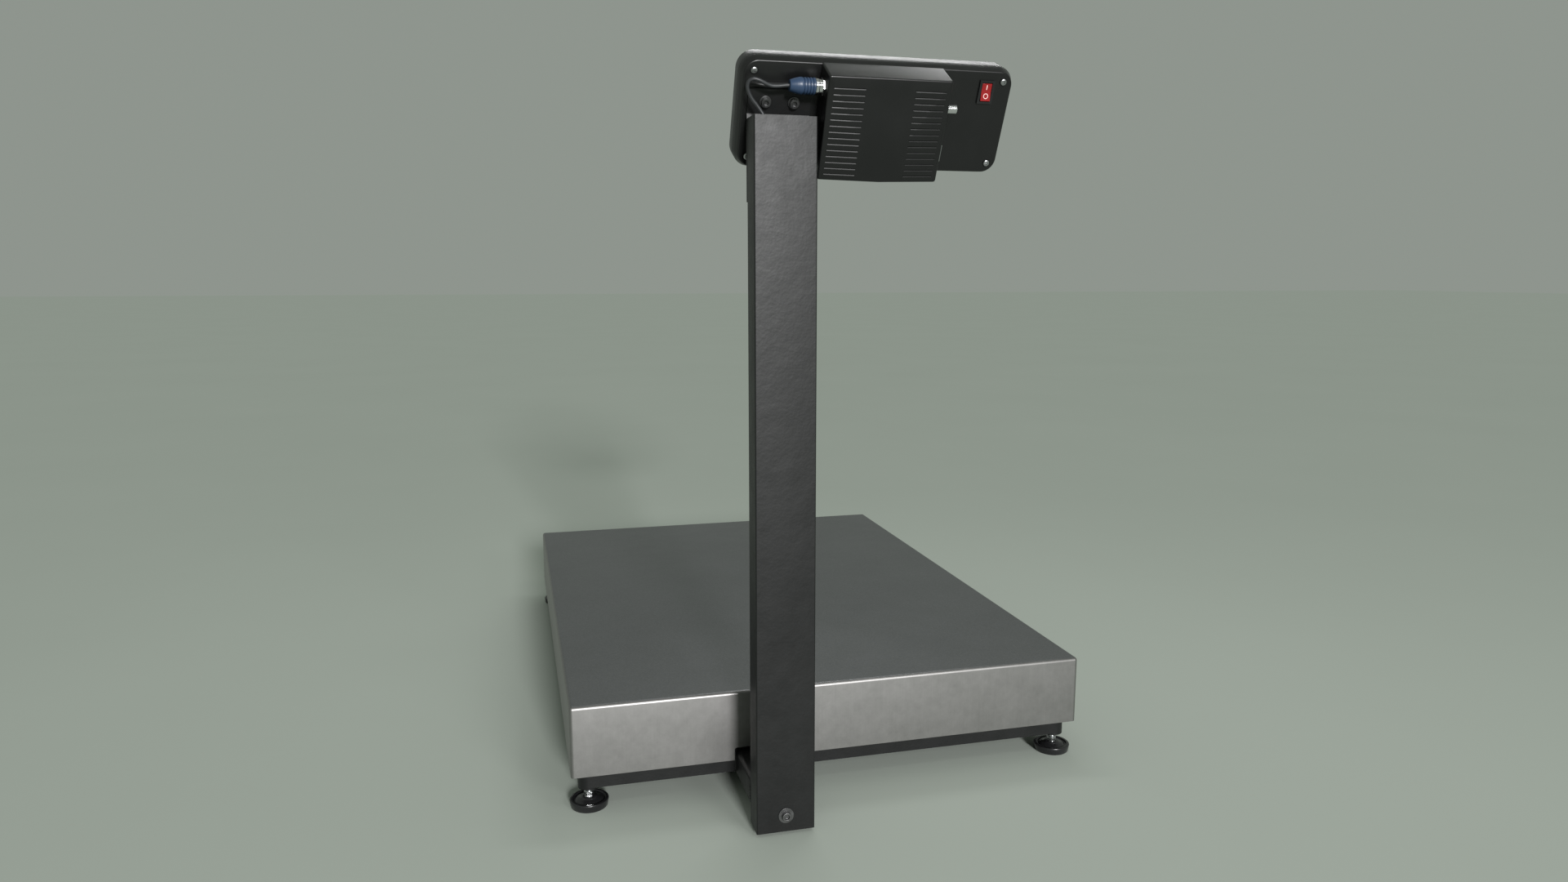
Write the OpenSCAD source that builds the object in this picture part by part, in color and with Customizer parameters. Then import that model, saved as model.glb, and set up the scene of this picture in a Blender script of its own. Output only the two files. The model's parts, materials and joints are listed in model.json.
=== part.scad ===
// Animal weighing scale: a stainless platform on a welded base with a single-point
// load cell, a rear mast on an arm, and a tilted indicator head facing the platform.
// Millimetres, +Z up. The origin is on the floor at the centre of the footprint.
// The display faces -Y, the mast stands at the +Y end.

/* [Platform] */
// Width of the weighing pan, along X
pan_w = 600; // [560:10:640]
// Length of the weighing pan, along Y
pan_l = 800; // [760:10:860]
// Height of the pan's top face above the floor
pan_top = 122; // [118:1:126]
// Depth of the pan's skirt
skirt = 80; // [76:1:82]
// Thickness of the pan's sheet
sheet = 1.5; // [1:0.1:2]
// Bend radius on the pan's edges
pan_r = 4; // [3:0.5:6]
// Y of the platform's centre, which centres the whole footprint on the origin
platform_y = -54.6; // [-60:0.1:-50]

/* [Base frame] */
// Distance from the pan's edge to each foot's centre
foot_inset = 20; // [19.5:0.5:21]
// Width of the frame's tubes
rail_w = 24; // [24:1:26]
// Height of the frame's underside above the floor
rail_z = 25; // [24:1:26]
// Height of the frame's tubes
rail_h = 27; // [25:1:28]
// Wall of the frame's tubes
rail_wall = 2; // [1.5:0.5:3]
// Diameter of the levelling feet
foot_d = 42.6; // [38:0.2:44]

/* [Mast] */
// X of the mast's centre line
mast_x = 87; // [80:1:100]
// Width of the mast's tube, along X
mast_w = 62; // [60:1:64]
// Depth of the mast's tube, along Y
mast_d = 30; // [28:1:32]
// Gap between the pan's rear edge and the mast
mast_gap = 66; // [60:1:80]
// Height of the mast's top
mast_top = 723; // [650:1:800]
// Wall of the mast's tube
mast_wall = 2; // [2:0.5:3]

/* [Indicator] */
// Backward lean of the indicator from upright, in degrees
head_tilt = 25; // [20:1:30]
// X of the indicator's centre
head_x = -13.5; // [-20:0.5:-5]
// Width of the indicator's case
head_w = 280; // [270:1:290]
// Height of the indicator's case, along its own slope
head_h = 108; // [106:1:110]
// Depth of the rear shell, behind the case's seam
rear_d = 10; // [9:0.5:11]
// Depth of the front shell, ahead of the seam
front_d = 19; // [18:0.5:22]
// Corner radius of the case
case_r = 17; // [15:1:20]
// Width of the vented housing on the case's back
housing_w = 124; // [120:1:128]
// Depth of the vented housing
housing_d = 30; // [26:1:34]

/* [Cable] */
// Diameter of the load cell's cable
cable_d = 3.6; // [3:0.1:3.9]

/* [Hidden] */
$fn = 48;
eps = 0.01;
fit = 0.3;

rear_y = platform_y + pan_l / 2;
front_y = platform_y - pan_l / 2;
pan_under = pan_top - sheet;
skirt_z = pan_top - skirt;
rail_top = rail_z + rail_h;

// Feet
foot_x = pan_w / 2 - foot_inset;
foot_dy = pan_l / 2 - foot_inset;
post_r = rail_w / 2;
post_z = 22.5;
stud_r = 5;
stud_bore = 5.06;
foot_h = 9;
hub_h = 11.4;
FEET = [[-1, -1], [1, -1], [-1, 1], [1, 1]];

// Load cell and load bridge
cell_w = 40;
cell_l = 150;
cell_h = 40;
channel_t = 6;
spacer_t = 6;
cell_z = rail_z + channel_t + spacer_t;
cell_top = cell_z + cell_h;
bridge_z = cell_top + spacer_t;
bridge_plate_t = 6;
bridge_tube_z = bridge_z + bridge_plate_t;
pad_t = 3.5;
bridge_top = pan_under - pad_t;
side_beam_x = 240;
side_beam_w = 30;
side_beam_l = 762;
crossbar_y = 92;
cell_bolt_x = 12;
cell_bolt_y = [47, 63];
cell_hole_r = 4.2;
stop_gap = 1;

// Mast and arm
mast_y = rear_y + mast_gap;
mast_z = 4;
mast_mid_y = mast_y + mast_d / 2;
arm_r = 4.5;
arm_wall = 3;
notch_clear = 2.8;
notch_h = 14.6;
arm_start = platform_y + foot_dy + post_r;
bolt_z = 22;
cable_hole_z = 44;
cable_exit_x = 105;
cable_exit_y = 427;
bracket_leg = 78;
rivet_z = [mast_top - 63, mast_top - 27];

// Indicator head: x along X, y up the slope, z towards the display
head_y = rear_y + 62.2;
head_z = skirt_z + 685.7;
head_wall = 2.5;
deck_inset = 3.6;
front_bevel = 4;
housing_bulge = 4;
screw_x = 127.2;
screw_y = 41.3;
housing_y0 = -52.5;
housing_y1 = 51.5;
housing_top_draft = 4;
mast_u = mast_x - head_x;
bracket_t = 3;
bracket_y0 = 1.5;
bracket_y1 = 28.7;
lip_r = 3.1;
bracket_screw_y = 13.2;
bracket_screw_dx = 14;
socket_y = 32.6;
socket_z = -14;
rocker_x = -110.3;
rocker_y = 31;
pivot_r = 1.2;
jack_y = 16.5;
port_y = -25.5;
vent_n = 15;
vent_pitch = 5.9;
vent_l = 31.5;
vent_w = 1.2;
vent_x = 25;
vent_y = 36.7;
key_n = 5;
key_pitch = 40;
key_w = 30;
key_h = 16;
key_y = -33;
window_w = 196;
window_h = 52;
window_y = 16;

// Route of the cable inside the base, the arm and the mast, from the load cell upwards
INNER_ROUTE = [
  [20.05, -20, 62], [30, -20, 61], [37, -17, 56], [41, -10, 48], [44, 2, 40], [46, 20, 34.5],
  [47, 50, 33], [47, 110, 33], [47, 170, 33], [47, 235, 33.2], [47.5, 248, 37], [49, 257, 43],
  [53, 266, 47], [59, 274, 48], [67, 284, 47], [75, 294, 45.4], [82, 302, 44.4], [86, 308, 44],
  [87, 314, 44], [87, 345, 44], [87, 400, 44], [87, 412, 45], [87, 419, 49], [87, 423, 56],
  [87, 425, 66], [87, 426, 90], [87, 426, 170], [87, 426, 260], [88, 426, 350], [90, 426, 450],
  [94, 426, 550], [99, 426, 630], [103, 426.6, 685], [105, 427, 715]
];

// Route of the loop between the mast's cap and the connector
LOOP_ROUTE = [
  [105, 427, 715], [105, 427, 719], [105.6, 427, 724], [108, 427, 728], [112, 427.5, 733],
  [116.5, 428.5, 738], [120, 430, 743.5], [121.8, 431.8, 749], [120.5, 433.8, 753.6],
  [116.5, 435.4, 755.4], [111.4, 435.8, 754.4], [106.4, 435.2, 752.4], [102, 434.4, 750.8],
  [98, 434, 750], [92, 434, 750.2], [86, 434, 751], [81, 434.1, 751.3], [76.5, 434.1, 751.3]
];

// ---- Shared shapes ----

// Flat rectangle with round corners, centred
module round_rect(w, h, r) {
  square([w - 2 * r, h], center = true);
  square([w, h - 2 * r], center = true);
  for (x = [-1, 1], y = [-1, 1])
    translate([x * (w / 2 - r), y * (h / 2 - r)]) circle(r);
}

// Block with round upright corners, standing on z = 0
module round_block(w, h, r, t) {
  linear_extrude(t) round_rect(w, h, r);
}

// Square tube from the start point, running along +X
module tube_x(l, w, h, t) {
  difference() {
    cube([l, w, h]);
    translate([-eps, t, t]) cube([l + 2 * eps, w - 2 * t, h - 2 * t]);
  }
}

// Square tube from the start point, running along +Y
module tube_y(l, w, h, t) {
  difference() {
    cube([w, l, h]);
    translate([t, -eps, t]) cube([w - 2 * t, l + 2 * eps, h - 2 * t]);
  }
}

// Moves a child into the platform's own frame
module on_platform(z = 0) {
  translate([0, platform_y, z]) children();
}

// Moves a child into the indicator's own frame
module on_head() {
  translate([head_x, head_y, head_z]) rotate([90 - head_tilt, 0, 0]) children();
}

// Socket-head screw standing on z = 0, with its shank below
module socket_screw(head_r, head_t, shank_r, shank_l) {
  difference() {
    union() {
      cylinder(h = head_t, r = head_r);
      translate([0, 0, -shank_l]) cylinder(h = shank_l, r = shank_r);
    }
    translate([0, 0, head_t * 0.4]) cylinder(h = head_t, r = head_r * 0.58, $fn = 6);
  }
}

// Pan-head screw with a cross recess, standing on z = 0
module cross_screw(head_r, head_t, shank_r, shank_l) {
  difference() {
    union() {
      cylinder(h = head_t, r1 = head_r, r2 = head_r * 0.72);
      translate([0, 0, -shank_l]) cylinder(h = shank_l, r = shank_r);
    }
    for (a = [0, 90])
      rotate([0, 0, a]) translate([0, 0, head_t]) cube([head_r * 1.1, 0.7, head_t], center = true);
  }
}

// Frame of a point on a path: the direction from its neighbour before to the one after
function heading(path, i) =
  let (a = path[max(i - 1, 0)], b = path[min(i + 1, len(path) - 1)], d = b - a) d / norm(d);

// Smooth point between two path points
function curve_point(p0, p1, p2, p3, t) =
  0.5 * ((2 * p1) + (p2 - p0) * t + (2 * p0 - 5 * p1 + 4 * p2 - p3) * t * t
    + (3 * p1 - p0 - 3 * p2 + p3) * t * t * t);

// The path with extra points between its own, each segment cut into n steps
function smooth_path(path, n) = concat(
  [for (i = [0:len(path) - 2], k = [0:n - 1])
    curve_point(path[max(i - 1, 0)], path[i], path[i + 1], path[min(i + 2, len(path) - 1)], k / n)],
  [path[len(path) - 1]]);

// Round cord of diameter d swept along a path
module cord(path, d, sides = 8) {
  side = [1, 0.02, 0.013];
  rings = [for (i = [0:len(path) - 1])
    let (
      t = heading(path, i),
      ref = abs(t * side) > 0.9 ? [0.02, 0.3, 1] : side,
      n = cross(t, ref) / norm(cross(t, ref)),
      b = cross(t, n)
    )
    [for (k = [0:sides - 1]) path[i] + d / 2 * (cos(360 * k / sides) * n + sin(360 * k / sides) * b)]];
  count = len(path);
  points = [for (ring = rings, p = ring) p];
  faces = concat(
    [[for (k = [0:sides - 1]) k]],
    [[for (k = [0:sides - 1]) count * sides - 1 - k]],
    [for (i = [0:count - 2], k = [0:sides - 1])
      [i * sides + k, (i + 1) * sides + k, (i + 1) * sides + (k + 1) % sides, i * sides + (k + 1) % sides]]
  );
  polyhedron(points, faces);
}

// ---- Platform ----

// Solid tray shape with bent upper edges
module tray_solid(w, l, top, r, z0) {
  hull()
    for (x = [-1, 1], y = [-1, 1])
      translate([x * (w / 2 - r), y * (l / 2 - r), 0]) {
        translate([0, 0, z0]) cylinder(h = 1, r = r, $fn = 32);
        translate([0, 0, top - r]) sphere(r, $fn = 32);
        translate([0, 0, top - 1]) cylinder(h = 1, r = r * 0.09, $fn = 32);
      }
}

module pan() {
  notch_w = mast_w + 2 * notch_clear;
  color("silver") on_platform()
    difference() {
      tray_solid(pan_w, pan_l, pan_top, pan_r, skirt_z);
      tray_solid(pan_w - 2 * sheet, pan_l - 2 * sheet, pan_under, pan_r - sheet, skirt_z - 5);
      translate([mast_x, pan_l / 2, skirt_z]) rotate([90, 0, 0])
        translate([0, notch_h / 2 - 5, -10]) round_block(notch_w, notch_h + 10, 3, 20);
    }
}

module pan_pads() {
  color("dimgray") on_platform(bridge_top)
    for (x = [-1, 1], y = [-1, 1])
      translate([x * side_beam_x, y * 320, 0]) cylinder(h = pad_t, r = 14);
}

module bridge_side_beams() {
  color("slategray") on_platform(bridge_tube_z)
    for (x = [-1, 1])
      translate([x * side_beam_x - side_beam_w / 2, -side_beam_l / 2, 0])
        tube_y(side_beam_l, side_beam_w, bridge_top - bridge_tube_z, rail_wall);
}

module bridge_crossbars() {
  span = 2 * side_beam_x - side_beam_w;
  color("slategray") on_platform(bridge_tube_z)
    for (y = [-1, 1])
      translate([-span / 2, y * crossbar_y - 20, 0]) tube_x(span, 40, bridge_top - bridge_tube_z, rail_wall);
}

module bridge_plate() {
  color("slategray") on_platform(bridge_z)
    difference() {
      translate([-60, -115, 0]) cube([120, 230, bridge_plate_t]);
      for (x = [-1, 1], y = cell_bolt_y)
        translate([x * cell_bolt_x, y, -1]) cylinder(h = bridge_plate_t + 2, r = cell_hole_r);
    }
}

// Spacer block under or over one end of the load cell
module cell_spacer(y) {
  difference() {
    translate([-20, y - 20, 0]) cube([40, 40, spacer_t]);
    for (x = [-1, 1], dy = [-8, 8])
      translate([x * cell_bolt_x, y + dy, -1]) cylinder(h = spacer_t + 2, r = cell_hole_r);
  }
}

module cell_upper_spacer() {
  color("gainsboro") on_platform(cell_top) cell_spacer(55);
}

module cell_lower_spacer() {
  color("gainsboro") on_platform(rail_z + channel_t) cell_spacer(-55);
}

module load_cell() {
  color("lightgray") on_platform(cell_z)
    difference() {
      translate([-cell_w / 2, -cell_l / 2, 0]) cube([cell_w, cell_l, cell_h]);
      for (y = [-13, 13])
        translate([-cell_w / 2 - 1, y, cell_h / 2]) rotate([0, 90, 0]) cylinder(h = cell_w + 2, r = 13);
      translate([-cell_w / 2 - 1, -13, cell_h / 2 - 5]) cube([cell_w + 2, 26, 10]);
      for (x = [-1, 1], y = cell_bolt_y) {
        translate([x * cell_bolt_x, y, cell_h - 18]) cylinder(h = 19, r = cell_hole_r);
        translate([x * cell_bolt_x, -y, -1]) cylinder(h = 19, r = cell_hole_r);
      }
    }
}

// Bolts up through the base channel and the lower spacer into the load cell
module cell_bolts() {
  color("silver") on_platform(rail_z)
    for (x = [-1, 1], y = cell_bolt_y)
      translate([x * cell_bolt_x, -y, 0]) rotate([180, 0, 0]) socket_screw(6.5, 5, 4, 26);
}

// Bolts down through the bridge plate and the upper spacer into the load cell
module bridge_bolts() {
  color("silver") on_platform(bridge_tube_z)
    for (x = [-1, 1], y = cell_bolt_y)
      translate([x * cell_bolt_x, y, 0]) socket_screw(6.5, 6, 4, 26);
}

module overload_stops() {
  shank = bridge_tube_z - stop_gap - rail_top - 5;
  color("silver") on_platform(rail_top)
    for (x = [-1, 1], y = [-1, 1])
      translate([x * side_beam_x, y * (foot_dy - 5), 0]) {
        cylinder(h = shank, r = 5);
        translate([0, 0, shank]) cylinder(h = 5, r = 8, $fn = 6);
        cylinder(h = 6, r = 8, $fn = 6);
      }
}

// ---- Base frame ----

module base_channel() {
  l = 2 * (foot_dy - post_r);
  color("#26282a") on_platform(rail_z)
    difference() {
      union() {
        translate([-60, -l / 2, 0]) cube([120, l, channel_t]);
        for (x = [-1, 1]) translate([x * 58 - 2, -l / 2, 0]) cube([4, l, 18]);
      }
      for (x = [-1, 1], y = cell_bolt_y)
        translate([x * cell_bolt_x, -y, -1]) cylinder(h = channel_t + 2, r = cell_hole_r);
    }
}

// Rail across the platform, cut round at its ends to meet the posts
module cross_rail(side) {
  span = 2 * foot_x;
  color("#1d1f20") on_platform(rail_z)
    difference() {
      translate([-span / 2, side * foot_dy - rail_w / 2, 0]) tube_x(span, rail_w, rail_h, rail_wall);
      for (x = [-1, 1])
        translate([x * foot_x, side * foot_dy, -1]) cylinder(h = rail_h + 2, r = post_r);
    }
}

// Rear rail, with a hole through it for the cable
module rear_rail() {
  difference() {
    cross_rail(1);
    translate([mast_x, arm_start - rail_w - 1, cable_hole_z]) rotate([-90, 0, 0])
      cylinder(h = rail_w + 2, r = 4);
  }
}

// Rail along the platform, which butts against the cross rails
module long_rail(side) {
  span = 2 * foot_dy - rail_w;
  color("#1d1f20") on_platform(rail_z)
    translate([side * foot_x - rail_w / 2, -span / 2, 0]) tube_y(span, rail_w, rail_h, rail_wall);
}

module corner_posts() {
  color("#1d1f20") on_platform(post_z)
    for (f = FEET)
      translate([f[0] * foot_x, f[1] * foot_dy, 0])
        difference() {
          cylinder(h = rail_top - post_z, r = post_r);
          translate([0, 0, -1]) cylinder(h = rail_top, r = stud_bore);
        }
}

// Threaded stud of foot i, with a spanner hexagon above the pad
module foot_stud(i) {
  f = FEET[i - 1];
  color("silver") on_platform()
    translate([f[0] * foot_x, f[1] * foot_dy, 0]) {
      translate([0, 0, 3.2]) cylinder(h = 47, r = stud_r);
      translate([0, 0, hub_h + 0.2]) cylinder(h = 5.6, r = 5.5, $fn = 6);
    }
}

// Pad of foot i: a dished disc with a raised centre
module foot_pad(i) {
  f = FEET[i - 1];
  r = foot_d / 2;
  color("#141516") on_platform()
    translate([f[0] * foot_x, f[1] * foot_dy, 0])
      rotate_extrude($fn = 64)
        polygon([
          [0, 0], [r - 2, 0], [r - 1.2, 0.8], [r, foot_h - 1.2], [r - 0.4, foot_h - 0.3],
          [r - 1.2, foot_h], [r - 3.4, foot_h], [r - 4, foot_h - 1.6], [r - 5.4, foot_h - 1.8],
          [r - 8.6, foot_h + 0.4], [9.6, foot_h + 0.9], [8.8, hub_h - 0.6], [8, hub_h],
          [stud_r + 0.06, hub_h], [stud_r + 0.06, 3], [0, 3]
        ]);
}

// ---- Mast ----

// Outline of the arm: flat below, bent at its two upper edges
module arm_outline(w, h, r) {
  translate([-w / 2, 0]) square([w, h - r]);
  translate([-w / 2 + r, 0]) square([w - 2 * r, h]);
  for (x = [-1, 1]) translate([x * (w / 2 - r), h - r]) circle(r);
}

module arm() {
  l = mast_y - arm_start;
  color("#1b1c1e") translate([mast_x, mast_y, rail_z]) rotate([90, 0, 0])
    difference() {
      linear_extrude(l) arm_outline(mast_w, rail_h, arm_r);
      translate([0, -1, -1]) linear_extrude(l + 2)
        arm_outline(mast_w - 2 * arm_wall, rail_h + 1 - arm_wall, arm_r - arm_wall);
    }
}

module mast_spigot() {
  w = mast_w - 2 * mast_wall - 2 * fit;
  d = mast_d - 2 * mast_wall - 2 * fit;
  wall = 4;
  web_y = mast_y + mast_wall + fit + d - wall;
  color("#303234")
    difference() {
      union() {
        translate([mast_x - w / 2, web_y, 8]) cube([w, wall, 110]);
        for (x = [0, 1])
          translate([mast_x - w / 2 + x * (w - wall), mast_y + mast_wall + fit, 8]) cube([wall, d, 110]);
        for (x = [-1, 1])
          translate([mast_x + x * 14 - 1.5, mast_y - 40, rail_z + 2])
            cube([3, web_y - mast_y + 40 + eps, rail_h - arm_wall - 2]);
      }
      translate([mast_x, web_y - 1, bolt_z]) rotate([-90, 0, 0]) cylinder(h = wall + 2, r = 3.05);
    }
}

module mast() {
  color("#232527")
    difference() {
      translate([mast_x, mast_mid_y, mast_z]) round_block(mast_w, mast_d, 1.5, mast_top - mast_z);
      translate([mast_x, mast_mid_y, mast_z - 1])
        linear_extrude(mast_top - mast_z + 2)
          square([mast_w - 2 * mast_wall, mast_d - 2 * mast_wall], center = true);
      translate([mast_x - 19, mast_y - 1, mast_z - 1]) cube([38, mast_wall + 2, rail_top + 2 - mast_z]);
      translate([mast_x, mast_y + mast_d - mast_wall - 1, bolt_z]) rotate([-90, 0, 0])
        cylinder(h = mast_wall + 2, r = 3.3);
      for (z = rivet_z)
        translate([mast_x, mast_y - 1, z]) rotate([-90, 0, 0]) cylinder(h = mast_wall + 2, r = 2.05);
    }
}

module mast_washer() {
  color("#2c2d2e") translate([mast_x, mast_y + mast_d, bolt_z]) rotate([-90, 0, 0])
    difference() {
      cylinder(h = 1.4, r = 8.2);
      translate([0, 0, -1]) cylinder(h = 4, r = 3.2);
    }
}

module mast_bolt() {
  color("#3a3b3c") translate([mast_x, mast_y + mast_d + 1.4, bolt_z]) rotate([-90, 0, 0])
    socket_screw(4.9, 4.4, 3, 11);
}

// Plug in the mast's top, with a hole for the cable
module mast_cap() {
  color("#151617")
    difference() {
      translate([mast_x, mast_mid_y, mast_top - 8]) linear_extrude(7)
        square([mast_w - 2 * mast_wall - 0.4, mast_d - 2 * mast_wall - 0.4], center = true);
      translate([cable_exit_x, cable_exit_y, mast_top - 9]) cylinder(h = 10, r = cable_d / 2 + 0.15);
    }
}

// Plug in the mast's lower end, behind the slot for the arm
module mast_foot_plug() {
  color("#151617") translate([mast_x, mast_mid_y, mast_z])
    linear_extrude(3.5)
      square([mast_w - 2 * mast_wall - 0.4, mast_d - 2 * mast_wall - 0.4], center = true);
}

// ---- Cable ----

module cell_cable() {
  color("#2f3133") cord(INNER_ROUTE, cable_d);
}

module cable_loop() {
  color("#2f3133") cord(smooth_path(LOOP_ROUTE, 2), cable_d);
}

// Places a child on the connector's axis, z pointing along +X away from the housing's wall
module on_socket(x) {
  on_head() translate([housing_w / 2 + x, socket_y, socket_z]) rotate([0, 90, 0]) children();
}

module panel_socket() {
  color("silver") on_socket(0) {
    cylinder(h = 2.2, r = 8.6, $fn = 6);
    translate([0, 0, 2.2]) cylinder(h = 3.4, r = 7.2);
  }
}

module coupling_ring() {
  color("silver") on_socket(5.9)
    difference() {
      cylinder(h = 3, r = 7.6);
      translate([0, 0, -1]) cylinder(h = 5, r = 5.09);
    }
}

module connector_boot() {
  color("#2f405c") on_socket(5.6)
    rotate_extrude()
      polygon([
        [0, 0], [5, 0], [5, 3.6], [7.8, 3.6], [7.8, 6], [7, 6.3], [7, 7.3], [7.8, 7.6], [7.8, 9.8],
        [7, 10.1], [7, 11.1], [7.8, 11.4], [7.8, 13.6], [7.2, 14.2], [8, 15.6], [8.1, 18], [7.2, 22],
        [5.6, 26.4], [5, 28.2], [2.05, 28.2], [2.05, 22.4], [0, 22.4]
      ]);
}

// ---- Bracket between mast and indicator ----

module bracket() {
  leg_z = mast_top - bracket_leg;
  bend_z = head_z + bracket_y0 * cos(head_tilt);
  bend_y = head_y + bracket_y0 * sin(head_tilt);
  color("#1f2122")
    difference() {
      union() {
        on_head() translate([mast_u - mast_w / 2, bracket_y0, -bracket_t])
          cube([mast_w, bracket_y1 - bracket_y0, bracket_t]);
        on_head() translate([mast_u - mast_w / 2, bracket_y1, -lip_r]) rotate([0, 90, 0])
          cylinder(h = mast_w, r = lip_r);
        translate([mast_x + mast_w / 2, 0, 0]) rotate([90, 0, -90])
          linear_extrude(mast_w)
            polygon([
              [-mast_y, leg_z], [-mast_y + bracket_t, leg_z], [-mast_y + bracket_t, bend_z - 6],
              [-bend_y, bend_z], [-bend_y - bracket_t * cos(head_tilt), bend_z - bracket_t * sin(head_tilt)],
              [-mast_y, bend_z - 5]
            ]);
      }
      on_head() for (s = [-1, 1])
        translate([mast_u + s * bracket_screw_dx, bracket_screw_y, -bracket_t - 1])
          cylinder(h = bracket_t + 2, r = 3.2);
      for (z = rivet_z)
        translate([mast_x, mast_y - bracket_t - 1, z]) rotate([-90, 0, 0])
          cylinder(h = bracket_t + 2, r = 2.05);
    }
}

module bracket_washers() {
  color("#2c2d2e") on_head()
    for (s = [-1, 1])
      translate([mast_u + s * bracket_screw_dx, bracket_screw_y, -bracket_t]) rotate([180, 0, 0])
        difference() {
          cylinder(h = 1.2, r = 5.8);
          translate([0, 0, -1]) cylinder(h = 4, r = 3.2);
        }
}

module bracket_screws() {
  color("#333435") on_head()
    for (s = [-1, 1])
      translate([mast_u + s * bracket_screw_dx, bracket_screw_y, -bracket_t - 1.2]) rotate([180, 0, 0])
        socket_screw(4.4, 3.6, 3, 11);
}

// Rivets that hold the bracket's leg on the mast
module bracket_rivets() {
  color("#3a3b3c")
    for (z = rivet_z)
      translate([mast_x, mast_y - bracket_t, z]) rotate([-90, 0, 0]) {
        translate([0, 0, -1.2]) cylinder(h = 1.2, r = 4);
        cylinder(h = bracket_t + mast_wall + 2, r = 2);
      }
}

// ---- Indicator ----

// Case block from z = 0: narrower by inset all round at z = 0, and full from z = rise
module tapered_case(depth, inset, rise) {
  hull() {
    round_block(head_w - 2 * inset, head_h - 2 * inset, case_r - inset, 1, $fn = 32);
    translate([0, 0, rise]) round_block(head_w, head_h, case_r, depth - rise, $fn = 32);
  }
}

// Hollow inside either shell, set in from the case's outline
module case_cavity(depth, inset) {
  round_block(head_w - 2 * inset, head_h - 2 * inset, case_r - inset, depth);
}

module rear_shell() {
  color("#1c1d1e") on_head()
    difference() {
      union() {
        difference() {
          tapered_case(rear_d, deck_inset, rear_d - 1);
          translate([0, 0, head_wall]) case_cavity(rear_d, deck_inset + 2);
        }
        for (x = [-1, 1], y = [-1, 1])
          translate([x * screw_x, y * screw_y, head_wall - eps]) cylinder(h = rear_d - head_wall + eps, r = 5);
        for (s = [-1, 1])
          translate([mast_u + s * bracket_screw_dx, bracket_screw_y, head_wall - eps])
            cylinder(h = 7.5 + eps, r = 6);
      }
      translate([-housing_w / 2 + 4, housing_y0 + 8, -1])
        cube([housing_w - 8, housing_y1 - housing_y0 - 20, head_wall + 2]);
      translate([rocker_x - 6.7, rocker_y - 9.9, -1]) cube([13.4, 19.8, head_wall + 2]);
      for (x = [-1, 1], y = [-1, 1])
        translate([x * screw_x, y * screw_y, -1]) cylinder(h = rear_d + 2, r = 1.9);
      for (s = [-1, 1])
        translate([mast_u + s * bracket_screw_dx, bracket_screw_y, -1]) cylinder(h = 10, r = 3.05);
    }
}

module front_shell() {
  color("#3f4244") on_head() translate([0, 0, rear_d])
    difference() {
      union() {
        difference() {
          translate([0, 0, front_d]) mirror([0, 0, 1]) tapered_case(front_d, front_bevel, front_bevel);
          translate([0, 0, -1]) case_cavity(front_d - head_wall + 1, head_wall + 0.5);
        }
        for (x = [-1, 1], y = [-1, 1])
          translate([x * screw_x, y * screw_y, 0]) cylinder(h = front_d - head_wall + eps, r = 4.5);
      }
      translate([0, window_y, front_d - head_wall - 1]) round_block(window_w, window_h, 4, head_wall + 2);
      translate([0, window_y, front_d - 1]) round_block(window_w + 8, window_h + 8, 6, 2);
      for (i = [1:key_n])
        translate([key_pitch * (i - (key_n + 1) / 2), key_y, front_d - head_wall - 1])
          round_block(key_w + 2 * fit, key_h + 2 * fit, 3 + fit, head_wall + 2);
      translate([0, key_y, front_d - 0.6]) round_block(224, 28, 5, 2);
      for (x = [-1, 1], y = [-1, 1])
        translate([x * screw_x, y * screw_y, -1]) cylinder(h = 12, r = 1.55);
    }
}

// Tapered box of the vented housing, from the deck to its back face, which swells at its foot
module housing_solid(grow, depth) {
  w = housing_w + 2 * grow;
  h = housing_y1 - housing_y0 + 2 * grow;
  y0 = housing_y0 - grow;
  hull() {
    translate([-w / 2, y0, -eps]) cube([w, h, eps]);
    translate([-w / 2, y0, -depth + 1]) cube([w, h - housing_top_draft, eps]);
    translate([-w / 2 + 1, y0 + 1, -depth]) cube([w - 2, h - housing_top_draft - 2, eps]);
    translate([-1, y0, -depth - housing_bulge]) cube([2, 1, eps]);
  }
}

module vent_housing() {
  color("#1a1b1c") on_head()
    difference() {
      housing_solid(0, housing_d);
      translate([0, 0, 1]) housing_solid(-head_wall, housing_d - head_wall + 1);
      for (i = [0:vent_n - 1], s = [-1, 1])
        translate([s * (vent_x + vent_l / 2) - vent_l / 2, vent_y - vent_pitch * i - vent_w / 2,
          -housing_d - housing_bulge - 1])
          cube([vent_l, vent_w, head_wall + housing_bulge + 2]);
      translate([-housing_w / 2 - 1, jack_y, socket_z]) rotate([0, 90, 0]) cylinder(h = 5, r = 4.3);
      translate([-housing_w / 2 - 1, port_y - 8.6, socket_z - 8.4]) cube([5, 17.2, 8.8]);
    }
}

module case_screws() {
  color("lightgray") on_head()
    for (x = [-1, 1], y = [-1, 1])
      translate([x * screw_x, y * screw_y, 0]) rotate([180, 0, 0]) cross_screw(3.4, 2, 1.5, rear_d + 8);
}

module display_window() {
  color("#0b1a1a") on_head() translate([0, window_y, rear_d + front_d - 1])
    round_block(window_w + 7.6, window_h + 7.6, 5.8, 1);
}

module display_module() {
  color("#3c4a3c") on_head() translate([-window_w / 2 + 8, window_y - 21, rear_d + front_d - head_wall - 6])
    cube([window_w - 16, 42, 6]);
}

module keypad_panel() {
  color("#3a4f6b") on_head() translate([0, key_y, rear_d + front_d - 0.6])
    difference() {
      round_block(223.6, 27.6, 4.8, 0.6);
      for (i = [1:key_n])
        translate([key_pitch * (i - (key_n + 1) / 2), 0, -1])
          round_block(key_w + 2 * fit, key_h + 2 * fit, 3 + fit, 3);
    }
}

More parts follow.
